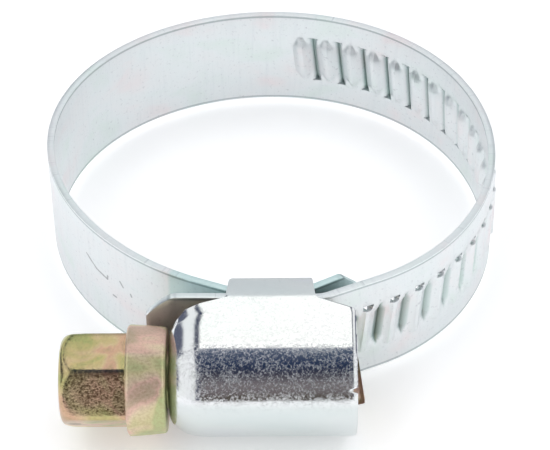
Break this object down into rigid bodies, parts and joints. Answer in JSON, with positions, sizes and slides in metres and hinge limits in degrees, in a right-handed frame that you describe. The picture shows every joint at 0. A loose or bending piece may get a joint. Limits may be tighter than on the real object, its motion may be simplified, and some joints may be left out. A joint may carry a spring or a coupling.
{
  "type": "hose clamp",
  "caption": "Worm-drive hose clamp: a steel band with pressed slots runs through a stamped housing and is drawn tight by a hexagon-head worm screw.",
  "frame": {"origin": "centre of the hose bore, halfway up the band", "axes": "+Z along the hose bore; +X along the screw, away from its hexagon head; the housing is on the -Y side"},
  "size_m": [0.0384, 0.0478, 0.0108],
  "materials": {
    "band_zinc": "bright zinc plating with a bluish tint",
    "housing_zinc": "bright zinc plating, slightly orange-peeled by the forming",
    "screw_yellow": "yellow chromate passivation with pink and green iridescence"
  },
  "bodies": {
    "housing_and_plain_end": {"housing": "housing_zinc", "band_plain_end": "band_zinc"},
    "screw": {"screw": "screw_yellow"},
    "band_link_01": {"band_link_01": "band_zinc"},
    "band_link_02": {"band_link_02": "band_zinc"},
    "band_link_03": {"band_link_03": "band_zinc"},
    "band_link_04": {"band_link_04": "band_zinc"},
    "band_link_05": {"band_link_05": "band_zinc"},
    "band_link_06": {"band_link_06": "band_zinc"},
    "band_link_07": {"band_link_07": "band_zinc"},
    "band_link_08": {"band_link_08": "band_zinc"},
    "band_link_09": {"band_link_09": "band_zinc"},
    "band_tail": {"band_tail": "band_zinc"}
  },
  "joints": [
    {"name": "screw_turn", "type": "hinge", "parent": "housing_and_plain_end", "child": "screw", "pos_m": [0, -0.02405, 0], "axis": [1, 0, 0], "range_deg": [0, 720]},
    {"name": "band_bend_01", "type": "hinge", "parent": "housing_and_plain_end", "child": "band_link_01", "pos_m": [-0.01315, -0.01253, 0], "axis": [0, 0, 1], "range_deg": [0, 5.9]},
    {"name": "band_bend_02", "type": "hinge", "parent": "band_link_01", "child": "band_link_02", "pos_m": [-0.01847, -0.00245, 0], "axis": [0, 0, 1], "range_deg": [0, 0.8]},
    {"name": "band_bend_03", "type": "hinge", "parent": "band_link_02", "child": "band_link_03", "pos_m": [-0.01686, 0.00915, 0], "axis": [0, 0, 1], "range_deg": [-5.2, 0]},
    {"name": "band_bend_04", "type": "hinge", "parent": "band_link_03", "child": "band_link_04", "pos_m": [-0.00849, 0.01705, 0], "axis": [0, 0, 1], "range_deg": [-5.2, 0]},
    {"name": "band_bend_05", "type": "hinge", "parent": "band_link_04", "child": "band_link_05", "pos_m": [0.00274, 0.01863, 0], "axis": [0, 0, 1], "range_deg": [-1.7, 0]},
    {"name": "band_bend_06", "type": "hinge", "parent": "band_link_05", "child": "band_link_06", "pos_m": [0.01316, 0.01313, 0], "axis": [0, 0, 1], "range_deg": [0, 1.3]},
    {"name": "band_bend_07", "type": "hinge", "parent": "band_link_06", "child": "band_link_07", "pos_m": [0.01822, 0.00246, 0], "axis": [0, 0, 1], "range_deg": [0, 1.9]},
    {"name": "band_bend_08", "type": "hinge", "parent": "band_link_07", "child": "band_link_08", "pos_m": [0.01652, -0.00925, 0], "axis": [0, 0, 1], "range_deg": [0, 1.5]},
    {"name": "band_bend_09", "type": "hinge", "parent": "band_link_08", "child": "band_link_09", "pos_m": [0.00825, -0.01761, 0], "axis": [0, 0, 1], "range_deg": [-24.8, 0]},
    {"name": "band_bend_10", "type": "hinge", "parent": "band_link_09", "child": "band_tail", "pos_m": [0.00389, -0.0196, 0], "axis": [0, 0, 1], "range_deg": [0, 25.8]}
  ],
  "couplings": [
    {"joint": "band_bend_01", "follows": "screw_turn", "ratio": 0.007953},
    {"joint": "band_bend_02", "follows": "screw_turn", "ratio": 0.000841},
    {"joint": "band_bend_03", "follows": "screw_turn", "ratio": -0.0069},
    {"joint": "band_bend_04", "follows": "screw_turn", "ratio": -0.006905},
    {"joint": "band_bend_05", "follows": "screw_turn", "ratio": -0.00203},
    {"joint": "band_bend_06", "follows": "screw_turn", "ratio": 0.001501},
    {"joint": "band_bend_07", "follows": "screw_turn", "ratio": 0.002335},
    {"joint": "band_bend_08", "follows": "screw_turn", "ratio": 0.001802},
    {"joint": "band_bend_09", "follows": "screw_turn", "ratio": -0.03421},
    {"joint": "band_bend_10", "follows": "screw_turn", "ratio": 0.035612}
  ]
}
